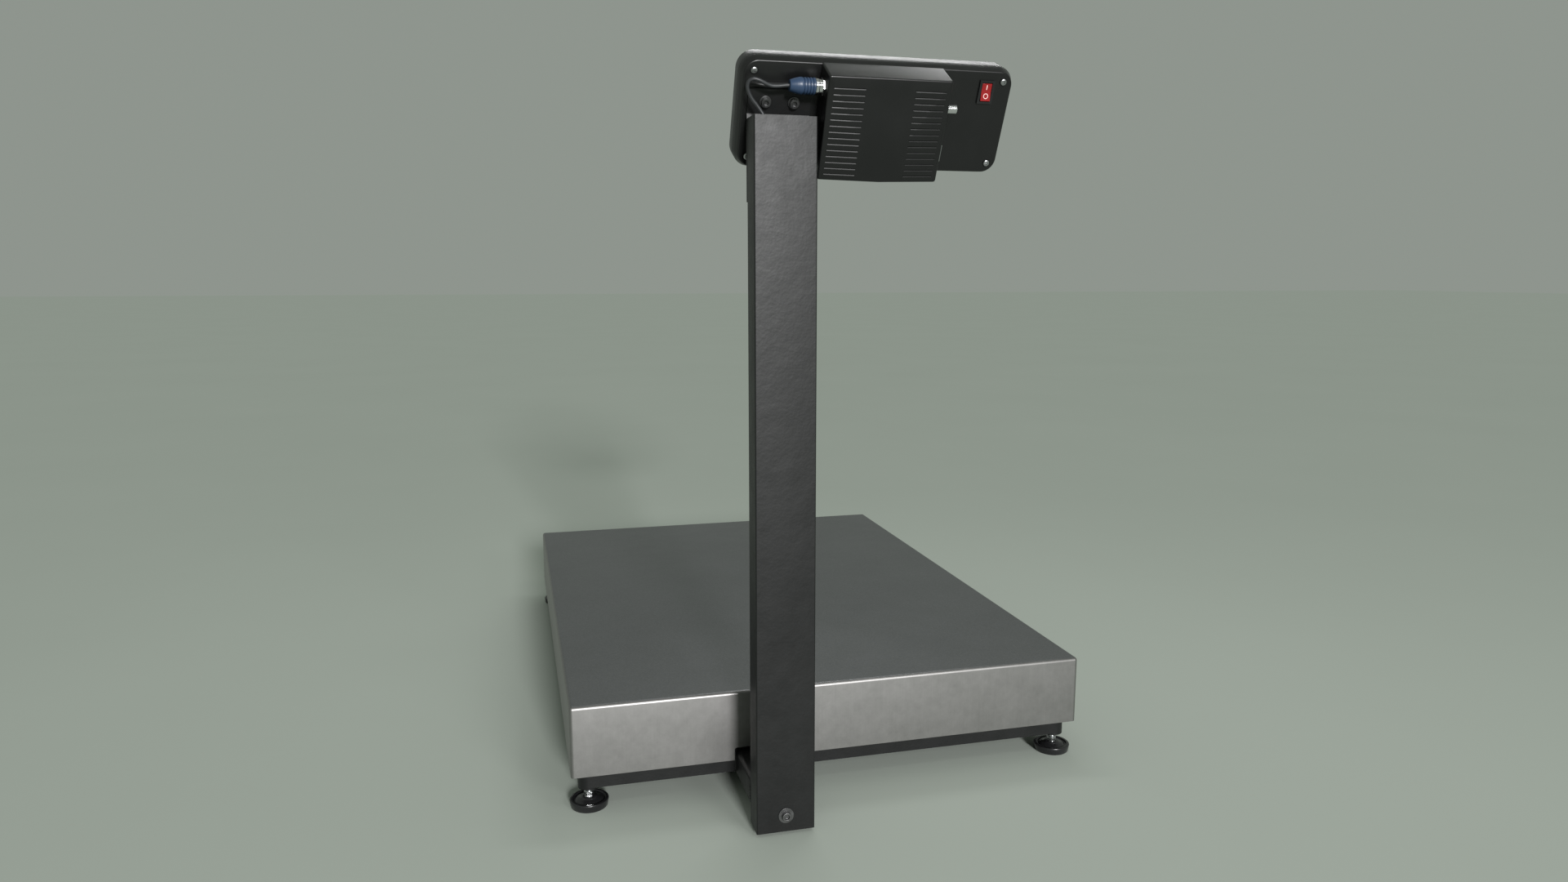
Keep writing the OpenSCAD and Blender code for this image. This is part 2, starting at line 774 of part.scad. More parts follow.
// Key i, which sinks into the front
module key(i) {
  color("lightsteelblue") on_head()
    translate([key_pitch * (i - (key_n + 1) / 2), key_y, rear_d + front_d - 3.4])
      round_block(key_w, key_h, 3, 4.2);
}

module main_board() {
  color("darkgreen") on_head() translate([-95, -45, rear_d + 3])
    cube([190, 78, 1.6]);
}

module battery() {
  color("#3b3e42") on_head() translate([-36, -44, -housing_d + head_wall + 2]) cube([72, 74, 20]);
}

module rocker_bezel() {
  color("#101112") on_head() translate([rocker_x, rocker_y, 0])
    difference() {
      union() {
        translate([-8, -11.3, -2]) cube([16, 22.6, 2]);
        translate([-6.5, -9.7, 0]) cube([13, 19.4, 9]);
      }
      translate([-5.4, -9.2, -3]) cube([10.8, 18.4, 9]);
      translate([-6.3, 0, 0]) rotate([0, 90, 0]) cylinder(h = 12.6, r = pivot_r + 0.05);
    }
}

// Rocker: two flat lands that meet in a shallow valley, on a pin along X
module rocker() {
  color("red") on_head() translate([rocker_x, rocker_y, 0]) {
    rotate([90, 0, 90]) translate([0, 0, -5.1])
      linear_extrude(10.2)
        polygon([[-8.2, 0.6], [-8.4, -3.2], [0, -1.6], [8.4, -1.4], [8.4, 1.4], [3, 3.4], [-3, 3.2]]);
    translate([-6.2, 0, 0]) rotate([0, 90, 0]) cylinder(h = 12.4, r = pivot_r);
  }
}

module power_jack() {
  color("silver") on_head() translate([-housing_w / 2, jack_y, socket_z]) rotate([0, -90, 0])
    difference() {
      union() {
        cylinder(h = 14, r = 4.4);
        translate([0, 0, -4]) cylinder(h = 4 + eps, r = 4.2);
        cylinder(h = 2, r = 6.4, $fn = 6);
      }
      translate([0, 0, 4]) cylinder(h = 11, r = 3.2);
    }
}

module serial_port() {
  color("silver") on_head() translate([-housing_w / 2, port_y, socket_z - 4])
    difference() {
      translate([-3.6, -8.2, -4]) cube([8.1, 16.4, 8]);
      translate([-4.6, -7.4, -3.2]) cube([5, 14.8, 6.4]);
    }
}

pan();
pan_pads();
bridge_side_beams();
bridge_crossbars();
bridge_plate();
cell_upper_spacer();
load_cell();
cell_lower_spacer();
cell_bolts();
bridge_bolts();
overload_stops();
base_channel();
cross_rail(-1);  // front_rail
rear_rail();
long_rail(-1);  // left_rail
long_rail(1);  // right_rail
corner_posts();
foot_stud(1);  // foot_stud_1
foot_stud(2);  // foot_stud_2
foot_stud(3);  // foot_stud_3
foot_stud(4);  // foot_stud_4
foot_pad(1);  // foot_pad_1
foot_pad(2);  // foot_pad_2
foot_pad(3);  // foot_pad_3
foot_pad(4);  // foot_pad_4
arm();
mast_spigot();
mast();
mast_bolt();
mast_washer();
mast_cap();
mast_foot_plug();
cell_cable();
cable_loop();
connector_boot();
coupling_ring();
panel_socket();
bracket();
bracket_screws();
bracket_washers();
bracket_rivets();
rear_shell();
front_shell();
vent_housing();
case_screws();
display_window();
display_module();
keypad_panel();
key(1);  // key_1
key(2);  // key_2
key(3);  // key_3
key(4);  // key_4
key(5);  // key_5
main_board();
battery();
rocker_bezel();
rocker();
power_jack();
serial_port();
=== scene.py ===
"""Animal weighing scale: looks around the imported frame. Metres, +Z up, the display faces -Y."""

import json
import math

import bmesh
import bpy
from mathutils import Matrix, Vector


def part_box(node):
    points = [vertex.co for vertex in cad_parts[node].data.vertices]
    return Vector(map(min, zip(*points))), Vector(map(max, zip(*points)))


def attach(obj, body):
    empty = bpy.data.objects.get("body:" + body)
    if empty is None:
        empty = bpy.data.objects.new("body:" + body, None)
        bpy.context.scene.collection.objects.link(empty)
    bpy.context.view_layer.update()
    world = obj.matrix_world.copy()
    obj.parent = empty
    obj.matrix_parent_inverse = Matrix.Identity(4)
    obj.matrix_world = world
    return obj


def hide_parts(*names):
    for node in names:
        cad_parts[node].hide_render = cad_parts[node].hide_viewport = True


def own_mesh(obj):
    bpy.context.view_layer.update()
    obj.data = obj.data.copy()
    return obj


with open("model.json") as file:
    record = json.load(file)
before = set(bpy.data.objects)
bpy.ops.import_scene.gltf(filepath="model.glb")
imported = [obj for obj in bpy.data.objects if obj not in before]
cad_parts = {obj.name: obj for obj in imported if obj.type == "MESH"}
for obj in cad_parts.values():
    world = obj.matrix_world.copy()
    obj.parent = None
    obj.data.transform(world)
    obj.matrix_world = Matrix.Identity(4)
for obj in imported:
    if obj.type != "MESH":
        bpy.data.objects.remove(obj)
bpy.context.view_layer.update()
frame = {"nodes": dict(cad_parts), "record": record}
scene = bpy.context.scene

# ---- Camera ----

CAMERA_AT = Vector((0.34732, 1.43821, 0.57658))
CAMERA_LOOKS = Vector((-0.2477, -0.9563, -0.1552))
CAMERA_LENS = 24.44


def make_camera():
    data = bpy.data.cameras.new("camera")
    data.sensor_width = 36.0
    data.lens = CAMERA_LENS
    data.clip_start = 0.02
    data.clip_end = 60.0
    camera = bpy.data.objects.new("camera", data)
    camera.location = CAMERA_AT
    camera.rotation_mode = "QUATERNION"
    camera.rotation_quaternion = CAMERA_LOOKS.to_track_quat("-Z", "Y")
    scene.collection.objects.link(camera)
    scene.camera = camera


make_camera()

# ---- Places taken from the CAD ----

HEAD_TILT = math.radians(25)
HEAD_AT = Vector((-0.0135, 0.4076, 0.7277))
HEAD = Matrix.Translation(HEAD_AT) @ Matrix.Rotation(math.pi / 2 - HEAD_TILT, 4, "X")
SOCKET = Vector((0.062, 0.0326, -0.014))
CABLE_D = 0.0036

# The indicator's own places, in millimetres
MM = 0.001
CASE_W, CASE_H, CASE_R = 280.0, 108.0, 17.0
HOUSING_W, HOUSING_LOW, HOUSING_HIGH = 124.0, -52.5, 51.5
HOUSING_DEPTH = 30.0
SWELL = 4.0
SCREW_SPOTS = [(x, y) for x in (-127.2, 127.2) for y in (-41.3, 41.3)]
VENT_COUNT, VENT_X, VENT_TOP, VENT_PITCH = 15, 40.75, 36.7, 5.9
ROCKER_X, ROCKER_Y = -110.3, 31.0
KEY_COUNT, KEY_PITCH, KEY_Y = 5, 40, -33

# ---- Materials ----


class Nodes:
    """A material's node tree, with short calls for what the materials below need."""

    def __init__(self, name):
        self.material = bpy.data.materials.new(name)
        self.material.use_nodes = True
        self.tree = self.material.node_tree
        self.shader = self.tree.nodes["Principled BSDF"]
        self.coords = self.add("ShaderNodeTexCoord").outputs["Object"]

    def add(self, kind, **values):
        node = self.tree.nodes.new(kind)
        for key, value in values.items():
            setattr(node, key, value)
        return node

    def link(self, a, b):
        self.tree.links.new(a, b)

    def scaled(self, x, y, z):
        node = self.add("ShaderNodeMapping")
        self.link(self.coords, node.inputs["Vector"])
        node.inputs["Scale"].default_value = (x, y, z)
        return node.outputs["Vector"]

    def noise(self, scale, detail=3.0, rough=0.55, vector=None):
        node = self.add("ShaderNodeTexNoise")
        self.link(vector or self.coords, node.inputs["Vector"])
        node.inputs["Scale"].default_value = scale
        node.inputs["Detail"].default_value = detail
        node.inputs["Roughness"].default_value = rough
        return node.outputs["Fac"]

    def remap(self, value, low, high, from_low=0.3, from_high=0.7):
        node = self.add("ShaderNodeMapRange")
        self.link(value, node.inputs["Value"])
        node.inputs["From Min"].default_value = from_low
        node.inputs["From Max"].default_value = from_high
        node.inputs["To Min"].default_value = low
        node.inputs["To Max"].default_value = high
        return node.outputs["Result"]

    def mix_colors(self, factor, a, b):
        node = self.add("ShaderNodeMix", data_type="RGBA")
        self.link(factor, node.inputs["Factor"])
        node.inputs["A"].default_value = (*a, 1)
        node.inputs["B"].default_value = (*b, 1)
        return node.outputs["Result"]

    def math(self, kind, a, b):
        node = self.add("ShaderNodeMath", operation=kind)
        for socket, value in zip(node.inputs, (a, b)):
            if isinstance(value, (int, float)):
                socket.default_value = value
            else:
                self.link(value, socket)
        return node.outputs["Value"]

    def bump(self, height, strength, distance, below=None):
        node = self.add("ShaderNodeBump")
        self.link(height, node.inputs["Height"])
        node.inputs["Strength"].default_value = strength
        node.inputs["Distance"].default_value = distance
        if below is not None:
            self.link(below, node.inputs["Normal"])
        return node.outputs["Normal"]

    def set(self, **values):
        for key, value in values.items():
            self.shader.inputs[key.replace("_", " ")].default_value = value

    def wear(self, colors, rough, size, spread=2.0):
        """Slow variation of colour and roughness over the surface."""
        cloud = self.noise(size, 4.0, 0.6)
        self.link(self.mix_colors(self.remap(cloud, 0, 1), *colors), self.shader.inputs["Base Color"])
        patch = self.noise(size * spread, 5.0, 0.65)
        self.link(self.remap(patch, rough[0], rough[1]), self.shader.inputs["Roughness"])


def brushed_pan_with_painted_shade():
    """Stainless sheet: clouded with faint upright grain on the skirts, finely speckled on the top. The top is
    painted darker than the skirts: painted shade by which way the sheet faces.
    """
    m = Nodes("pan_stainless_painted_shade")
    m.set(Metallic=1.0)
    cloud = m.noise(7.0, 4.0, 0.6)
    streak = m.noise(1.0, 5.0, 0.65, m.scaled(520, 520, 16))
    speck = m.noise(620.0, 3.0, 0.6)
    mottle = m.noise(95.0, 5.0, 0.7)
    tone = m.math("ADD", m.math("MULTIPLY", streak, 0.26), m.math("MULTIPLY", mottle, 0.74))
    # Skirt colours, lighter than the top's: painted light on the upright sides.
    side = m.mix_colors(m.remap(tone, 0, 1, 0.32, 0.68), (0.25, 0.243, 0.24), (0.295, 0.287, 0.283))
    top_tone = m.math("ADD", m.math("MULTIPLY", speck, 0.75), m.math("MULTIPLY", cloud, 0.25))
    # Top colours, darker than the skirts': painted shade on the upward face.
    top = m.mix_colors(m.remap(top_tone, 0, 1, 0.34, 0.66), (0.185, 0.186, 0.194), (0.245, 0.246, 0.256))
    # Mixes skirt and top colours by the normal's height: painted light and shade by facing.
    painted_shade_facing = m.add("ShaderNodeSeparateXYZ")
    m.link(m.add("ShaderNodeTexCoord").outputs["Normal"], painted_shade_facing.inputs["Vector"])
    painted_shade_blend = m.add("ShaderNodeMix", data_type="RGBA")
    m.link(m.remap(painted_shade_facing.outputs["Z"], 0, 1, 0.75, 0.97), painted_shade_blend.inputs["Factor"])
    m.link(side, painted_shade_blend.inputs["A"])
    m.link(top, painted_shade_blend.inputs["B"])
    m.link(painted_shade_blend.outputs["Result"], m.shader.inputs["Base Color"])
    m.link(m.remap(m.noise(26.0, 4.0, 0.6), 0.43, 0.48), m.shader.inputs["Roughness"])
    low = m.bump(streak, 0.02, 0.0003)
    m.link(m.bump(speck, 0.10, 0.0002, low), m.shader.inputs["Normal"])
    return m.material


def powder_coat(name, dark, light, rough, peel=0.25, dent=0.0):
    """Black powder coat with a fine orange peel, and slow dents where the sheet isn't flat."""
    m = Nodes(name)
    m.wear((dark, light), rough, 14.0, 3.0)
    peel_height = m.noise(420.0, 2.0, 0.5)
    normal = m.bump(peel_height, peel, 0.0004)
    if dent:
        lumps = m.noise(55.0, 3.0, 0.6)
        normal = m.bump(lumps, dent, 0.002, normal)
    m.link(normal, m.shader.inputs["Normal"])
    m.set(Specular_IOR_Level=0.38)
    return m.material


def moulded(name, dark, light, rough, grain=0.15, scale=1500.0):
    """Moulded plastic with a spark-eroded grain."""
    m = Nodes(name)
    m.wear((dark, light), rough, 22.0, 2.5)
    m.link(m.bump(m.noise(scale, 2.0, 0.5), grain, 0.0002), m.shader.inputs["Normal"])
    return m.material


def metal(name, dark, light, rough, grain=(600, 600, 600), depth=0.05):
    """Plated or machined metal with a faint grain."""
    m = Nodes(name)
    m.set(Metallic=1.0)
    m.wear((dark, light), rough, 60.0, 3.0)
    m.link(m.bump(m.noise(1.0, 3.0, 0.5, m.scaled(*grain)), depth, 0.0002), m.shader.inputs["Normal"])
    return m.material


def tinted_window():
    m = Nodes("window_tint")
    m.wear(((0.58, 0.66, 0.63), (0.62, 0.70, 0.67)), (0.03, 0.06), 30.0)
    m.set(Transmission_Weight=0.85, IOR=1.49)
    return m.material


def rubber(name, tone):
    m = Nodes(name)
    m.wear((tone, tuple(c * 1.6 for c in tone)), (0.55, 0.75), 40.0)
    m.link(m.bump(m.noise(700.0, 3.0, 0.6), 0.2, 0.0003), m.shader.inputs["Normal"])
    return m.material


def painted_marks(name, tone):
    """Pad-printed or moulded-in light marks."""
    m = Nodes(name)
    m.wear((tone, tuple(min(1, c * 1.15) for c in tone)), (0.35, 0.5), 300.0)
    m.link(m.bump(m.noise(2500.0, 2.0, 0.5), 0.05, 0.0001), m.shader.inputs["Normal"])
    return m.material


MATERIALS = {
    "pan_steel": brushed_pan_with_painted_shade(),
    "pad_rubber": rubber("pad_rubber", (0.02, 0.02, 0.02)),
    "bridge_steel": powder_coat("bridge_paint", (0.05, 0.052, 0.055), (0.07, 0.072, 0.075), (0.45, 0.6)),
    "cell_aluminium": metal("cell_aluminium", (0.62, 0.63, 0.64), (0.72, 0.73, 0.74), (0.28, 0.4),
                            (900, 40, 900)),
    "bolt_steel": metal("bolt_zinc", (0.50, 0.50, 0.46), (0.62, 0.62, 0.58), (0.25, 0.4)),
    "frame_paint": powder_coat("frame_paint", (0.0035, 0.0037, 0.004), (0.0060, 0.0062, 0.0065), (0.42, 0.52)),
    "stud_chrome": metal("stud_plating", (0.55, 0.56, 0.57), (0.70, 0.71, 0.72), (0.16, 0.28)),
    "foot_black": moulded("foot_plastic", (0.008, 0.008, 0.009), (0.014, 0.014, 0.015), (0.22, 0.34),
                           0.06, 900.0),
    "mast_paint": powder_coat("mast_paint", (0.0048, 0.0050, 0.0052), (0.0072, 0.0074, 0.0076), (0.40, 0.48),
                              0.12, 0.16),
    "black_steel": metal("black_steel", (0.11, 0.11, 0.112), (0.16, 0.16, 0.162), (0.36, 0.48)),
    "cap_plastic": moulded("cap_plastic", (0.010, 0.010, 0.011), (0.016, 0.016, 0.017), (0.45, 0.6)),
    "cable_sheath": moulded("cable_sheath", (0.020, 0.021, 0.023), (0.032, 0.034, 0.037), (0.36, 0.5),
                             0.08, 800.0),
    "boot_blue": moulded("boot_plastic", (0.020, 0.040, 0.085), (0.030, 0.056, 0.11), (0.32, 0.44), 0.08),
    "socket_chrome": metal("socket_plating", (0.62, 0.62, 0.63), (0.76, 0.76, 0.77), (0.10, 0.2)),
    "case_black": moulded("case_plastic", (0.0036, 0.0036, 0.0038), (0.0055, 0.0055, 0.0058), (0.29, 0.34),
                           0.06),
    "case_front": moulded("case_front_plastic", (0.009, 0.0094, 0.0098), (0.012, 0.0124, 0.0128), (0.33, 0.41)),
    "window": tinted_window(),
    "lcd_panel": moulded("lcd_panel", (0.27, 0.34, 0.22), (0.31, 0.38, 0.25), (0.25, 0.35)),
    "keypad_blue": moulded("keypad_film", (0.025, 0.06, 0.13), (0.035, 0.075, 0.15), (0.4, 0.5)),
    "key_face": moulded("key_film", (0.30, 0.34, 0.38), (0.36, 0.40, 0.44), (0.4, 0.5)),
    "board_green": moulded("solder_mask", (0.008, 0.07, 0.025), (0.012, 0.10, 0.035), (0.25, 0.4)),
    "battery_case": moulded("battery_case", (0.04, 0.045, 0.05), (0.055, 0.06, 0.065), (0.45, 0.6)),
    "bezel_black": moulded("bezel_plastic", (0.008, 0.008, 0.009), (0.013, 0.013, 0.014), (0.22, 0.32), 0.05),
    "rocker_red": moulded("rocker_plastic", (0.22, 0.006, 0.008), (0.28, 0.010, 0.012), (0.22, 0.32), 0.04),
    "screw_steel": metal("screw_steel", (0.33, 0.335, 0.34), (0.45, 0.455, 0.46), (0.26, 0.38)),
}
MARK_PALE = painted_marks("mark_pale", (0.80, 0.55, 0.53))
SEGMENT_DARK = moulded("segment_dark", (0.16, 0.20, 0.13), (0.18, 0.225, 0.15), (0.35, 0.5))

NODE_SLOT = {s["node"]: s["material_slot"] for s in frame["record"]["subparts"]}
NODE_BODY = {n: b for b, ns in frame["record"]["behaviour"]["bodies"].items() for n in ns}
for name, slot_name in NODE_SLOT.items():
    node_mesh = frame["nodes"][name].data
    node_mesh.materials.clear()
    node_mesh.materials.append(MATERIALS[slot_name])

# ---- Building pieces ----


def place(name, mesh, slot, body, at=None, stands_for=(), material=None):
    """Puts a mesh into the scene as a piece that rides on a body."""
    piece = bpy.data.objects.new(name, mesh)
    scene.collection.objects.link(piece)
    if at is not None:
        piece.matrix_world = at
    mesh.materials.clear()
    mesh.materials.append(material or MATERIALS[slot])
    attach(piece, body)
    if stands_for:
        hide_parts(*stands_for)
    return piece


def smooth(mesh, degrees=35):
    for polygon in mesh.polygons:
        polygon.use_smooth = True
    mesh.set_sharp_from_angle(angle=math.radians(degrees))


def mesh_from(bm, name, degrees=35):
    bmesh.ops.recalc_face_normals(bm, faces=bm.faces)
    mesh = bpy.data.meshes.new(name)
    bm.to_mesh(mesh)
    bm.free()
    smooth(mesh, degrees)
    return mesh


def softened(node, width):
    """A copy of a CAD node with its sharp edges rounded, which stands for the node."""
    bm = bmesh.new()
    bm.from_mesh(frame["nodes"][node].data)
    bmesh.ops.remove_doubles(bm, verts=bm.verts, dist=2e-6)
    bmesh.ops.dissolve_limit(bm, angle_limit=math.radians(0.6), verts=bm.verts, edges=bm.edges)
    mesh = mesh_from(bm, node + "_finish", 28)
    piece = place(mesh.name, mesh, NODE_SLOT[node], NODE_BODY[node], stands_for=[node])
    edges(piece, width)


def revolved(profile, steps=64):
    """A closed surface of revolution about Z. Its (radius, height) points start and end on the axis."""
    bm = bmesh.new()
    rings = []
    for radius, height in profile:
        if radius == 0:
            rings.append([bm.verts.new((0, 0, height))])
            continue
        turn = [2 * math.pi * k / steps for k in range(steps)]
        rings.append([bm.verts.new((radius * math.cos(a), radius * math.sin(a), height)) for a in turn])
    for low, high in zip(rings, rings[1:]):
        for k in range(steps):
            a, b = low[k % len(low)], low[(k + 1) % len(low)]
            c, d = high[(k + 1) % len(high)], high[k % len(high)]
            corners = list(dict.fromkeys((a, b, c, d)))
            if len(corners) > 2:
                bm.faces.new(corners)
    return bm


def rounded(profile, radius, steps=4):
    """Rounds the corners of an open (radius, height) profile, apart from its two ends."""
    points = [Vector(p) for p in profile]
    out = [points[0]]
    for before, here, after in zip(points, points[1:], points[2:]):
        a, b = before - here, after - here
        reach = min(radius, a.length * 0.45, b.length * 0.45)
        start, end = here + a.normalized() * reach, here + b.normalized() * reach
        for k in range(steps + 1):
            t = k / steps
            out.append(start * (1 - t) ** 2 + here * 2 * t * (1 - t) + end * t * t)
    out.append(points[-1])
    return [tuple(p) for p in out]


def outline(w, h, r, steps=10):
    """Points round a rectangle with round corners, counter-clockwise."""
    points = []
    corners = ((w / 2 - r, h / 2 - r, 0), (r - w / 2, h / 2 - r, 1),
               (r - w / 2, r - h / 2, 2), (w / 2 - r, r - h / 2, 3))
    for x, y, quarter in corners:
        for k in range(steps + 1):
            a = math.pi / 2 * (quarter + k / steps)
            points.append((x + r * math.cos(a), y + r * math.sin(a)))
    return points


def skin(bm, rings, closed_ends=(True, True)):
    """Joins rings of equal length with faces, and caps the ends."""
    made = [[bm.verts.new(p) for p in ring] for ring in rings]
    count = len(made[0])
    for low, high in zip(made, made[1:]):
        for k in range(count):
            bm.faces.new((low[k], low[(k + 1) % count], high[(k + 1) % count], high[k]))
    if closed_ends[0]:
        bm.faces.new(list(reversed(made[0])))
    if closed_ends[1]:
        bm.faces.new(made[-1])
    return made


def cut(piece, cutters):
    """Cuts closed bmesh cutters out of a piece."""
    for index, bm in enumerate(cutters):
        bmesh.ops.recalc_face_normals(bm, faces=bm.faces)
        mesh = bpy.data.meshes.new(f"{piece.name}_cutter_{index}")
        bm.to_mesh(mesh)
        bm.free()
        cutter = bpy.data.objects.new(mesh.name, mesh)
        scene.collection.objects.link(cutter)
        cutter.matrix_world = piece.matrix_world
        modifier = piece.modifiers.new("cut", "BOOLEAN")
        modifier.operation = "DIFFERENCE"
        modifier.solver = "EXACT"
        modifier.object = cutter
    bpy.context.view_layer.update()
    result = bpy.data.meshes.new_from_object(piece.evaluated_get(bpy.context.evaluated_depsgraph_get()))
    for modifier in list(piece.modifiers):
        cutter = modifier.object
        piece.modifiers.remove(modifier)
        bpy.data.objects.remove(cutter)
    piece.data = result


def block(bm, low, high):
    """An axis-aligned block between two corners."""
    made = bmesh.ops.create_cube(bm, size=1.0)["verts"]
    low, high = Vector(low), Vector(high)
    for v in made:
        v.co = low + Vector((v.co.x + 0.5, v.co.y + 0.5, v.co.z + 0.5)) * (high - low)
    return made


def rod(bm, radius, z0, z1, x=0.0, y=0.0, steps=32, tip=None):
    """An upright round rod."""
    rings = []
    for r, z in ((radius, z0), (tip or radius, z1)):
        turn = [2 * math.pi * k / steps for k in range(steps)]
        rings.append([(x + r * math.cos(a), y + r * math.sin(a), z) for a in turn])
    skin(bm, rings)


# ---- Cable loop ----

LOOP_ROUTE = [
    (0.105, 0.427, 0.715), (0.105, 0.427, 0.719), (0.1056, 0.427, 0.724), (0.108, 0.427, 0.728),
    (0.112, 0.4275, 0.733), (0.1165, 0.4285, 0.738), (0.120, 0.430, 0.7435), (0.1218, 0.4318, 0.749),
    (0.1205, 0.4338, 0.7536), (0.1165, 0.4354, 0.7554), (0.1114, 0.4358, 0.7544), (0.1064, 0.4352, 0.7524),
    (0.102, 0.4344, 0.7508), (0.098, 0.434, 0.750), (0.092, 0.434, 0.7502), (0.086, 0.434, 0.751),
    (0.081, 0.4341, 0.7513), (0.0765, 0.4341, 0.7513),
]


def curve_through(points, steps):
    """Points of a smooth curve through the given ones."""
    p = [Vector(q) for q in points]
    out = []
    for i in range(len(p) - 1):
        p0, p1, p2, p3 = p[max(i - 1, 0)], p[i], p[i + 1], p[min(i + 2, len(p) - 1)]
        for k in range(steps):
            t = k / steps
            out.append(0.5 * (2 * p1 + (p2 - p0) * t + (2 * p0 - 5 * p1 + 4 * p2 - p3) * t * t
                              + (3 * p1 - p0 - 3 * p2 + p3) * t * t * t))
    out.append(p[-1])
    return out


def tube(name, points, radius, sides=20):
    """A round tube along points, with rings that don't twist."""
    bm = bmesh.new()
    rings = []
    normal = Vector((0, 1, 0))
    for i, point in enumerate(points):
        along = (points[min(i + 1, len(points) - 1)] - points[max(i - 1, 0)]).normalized()
        normal = (normal - along * normal.dot(along)).normalized()
        side = along.cross(normal)
        turn = [2 * math.pi * k / sides for k in range(sides)]
        rings.append([point + radius * (math.cos(a) * normal + math.sin(a) * side) for a in turn])
    skin(bm, rings)
    return mesh_from(bm, name, 60)


def make_cable_loop():
    route = curve_through(LOOP_ROUTE, 6)
    piece = place("cable_loop_sheath", tube("cable_loop_sheath", route, CABLE_D / 2), "cable_sheath", "base",
                  stands_for=["cable_loop"])
    make_boot()


def make_boot():
    """Ribbed rubber boot that tapers towards the cable."""
    body = [(0, 0), (5, 0), (5, 3.5), (7.6, 3.5)]
    ribs = []
    for k in range(4):
        z = 3.7 + 2.9 * k
        ribs += [(7.9, z), (7.9, z + 1.9), (7.1, z + 2.15), (7.1, z + 2.65)]
    tail = [(7.9, 15.4), (8.1, 17.2), (7.9, 19.0), (7.3, 21.6), (6.5, 24.2), (5.8, 26.3), (5.2, 27.9),
            (4.4, 28.2), (2.0, 28.2), (1.9, 27.6), (1.9, 22.4), (0, 22.4)]
    profile = [(r * 0.001, z * 0.001) for r, z in body + ribs + tail]
    mesh = mesh_from(revolved(rounded(profile, 0.0004, 3), 56), "connector_boot_ribbed", 50)
    at = HEAD @ Matrix.Translation(SOCKET + Vector((0.0056, 0, 0))) @ Matrix.Rotation(math.pi / 2, 4, "Y")
    return place("connector_boot_ribbed", mesh, "boot_blue", "base", at, ["connector_boot"])


make_cable_loop()

# ---- Platform ----


def make_pan():
    low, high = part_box("pan")
    sheet, radius = 0.0015, 0.004
    w, l = high.x - low.x, high.y - low.y
    middle = Vector(((low.x + high.x) / 2, (low.y + high.y) / 2, 0))
    bm = bmesh.new()

    def ring(inset, z):
        points = outline(w - 2 * inset, l - 2 * inset, max(radius - inset, 0.0008), 8)
        return [(middle.x + x, middle.y + y, z) for x, y in points]

    outer = [ring(0, low.z), ring(0, high.z - radius)]
    for k in range(1, 9):
        a = math.pi / 2 * k / 8
        outer.append(ring(radius * (1 - math.cos(a)), high.z - radius + radius * math.sin(a)))
    inner_r = radius - sheet
    inner = []
    for k in range(8, -1, -1):
        a = math.pi / 2 * k / 8
        inner.append(ring(sheet + inner_r * (1 - math.cos(a)), high.z - radius + inner_r * math.sin(a)))
    inner.append(ring(sheet, low.z))
    made_outer = skin(bm, outer, (False, True))
    made_inner = skin(bm, inner, (True, False))
    count = len(made_outer[0])
    for k in range(count):
        n = (k + 1) % count
        bm.faces.new((made_outer[0][k], made_inner[-1][k], made_inner[-1][n], made_outer[0][n]))
    piece = place("pan_sheet", mesh_from(bm, "pan_sheet", 30), "pan_steel", "pan", stands_for=["pan"])
    arm_low, arm_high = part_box("arm")
    clear, top = 0.0028, low.z + 0.0146
    notch = bmesh.new()
    notch_w = arm_high.x - arm_low.x + 2 * clear
    centre = (arm_low.x + arm_high.x) / 2
    points = [(centre + x, z) for x, z in outline(notch_w, 2 * (top - low.z), 0.003, 8)]
    skin(notch, [[(x, high.y + d, low.z + z) for x, z in points] for d in (0.006, -0.006)])
    cut(piece, [notch])
    smooth(piece.data, 30)


make_pan()

# ---- Indicator ----


def head_piece(name, bm, slot, stands_for=(), body="base", material=None, degrees=35, at=None):
    """A piece made in millimetres in the indicator's own frame."""
    bmesh.ops.scale(bm, vec=(MM, MM, MM), verts=bm.verts)
    return place(name, mesh_from(bm, name, degrees), slot, body, HEAD @ (at or Matrix()), stands_for, material)


def mm_block(w, h, r, z0, z1, x=0.0, y=0.0, steps=8):
    """A block with round upright corners, in millimetres."""
    bm = bmesh.new()
    points = [(x + px, y + py) for px, py in outline(w, h, r, steps)]
    skin(bm, [[(px, py, z) for px, py in points] for z in (z0, z1)])
    return bm


def mm_rod(radius, z0, z1, x=0.0, y=0.0, steps=40, tip=None):
    bm = bmesh.new()
    rod(bm, radius, z0, z1, x, y, steps, tip)
    return bm


def in_metres(cutters):
    for bm in cutters:
        bmesh.ops.scale(bm, vec=(MM, MM, MM), verts=bm.verts)
    return cutters


def edges(piece, width, segments=2, degrees=40):
    """Rounds a piece's sharp edges."""
    bevel = piece.modifiers.new("edges", "BEVEL")
    bevel.width = width
    bevel.segments = segments
    bevel.limit_method = "ANGLE"
    bevel.angle_limit = math.radians(degrees)
    bevel.harden_normals = True


def hoop(rings):
    """A closed loop of faces through rings of equal length, such as a flat washer."""
    bm = bmesh.new()
    made = [[bm.verts.new(p) for p in ring] for ring in rings]
    count = len(rings[0])
    for a, b in zip(made, made[1:] + made[:1]):
        for k in range(count):
            bm.faces.new((a[k], a[(k + 1) % count], b[(k + 1) % count], b[k]))
    return bm


def case_rings(path):
    """Rings of the case's outline from (inset, z) steps, in millimetres."""
    rings = []
    for inset, z in path:
        points = outline(CASE_W - 2 * inset, CASE_H - 2 * inset, max(CASE_R - inset, 0.6), 12)
        rings.append([(x, y, z) for x, y in points])
    return rings


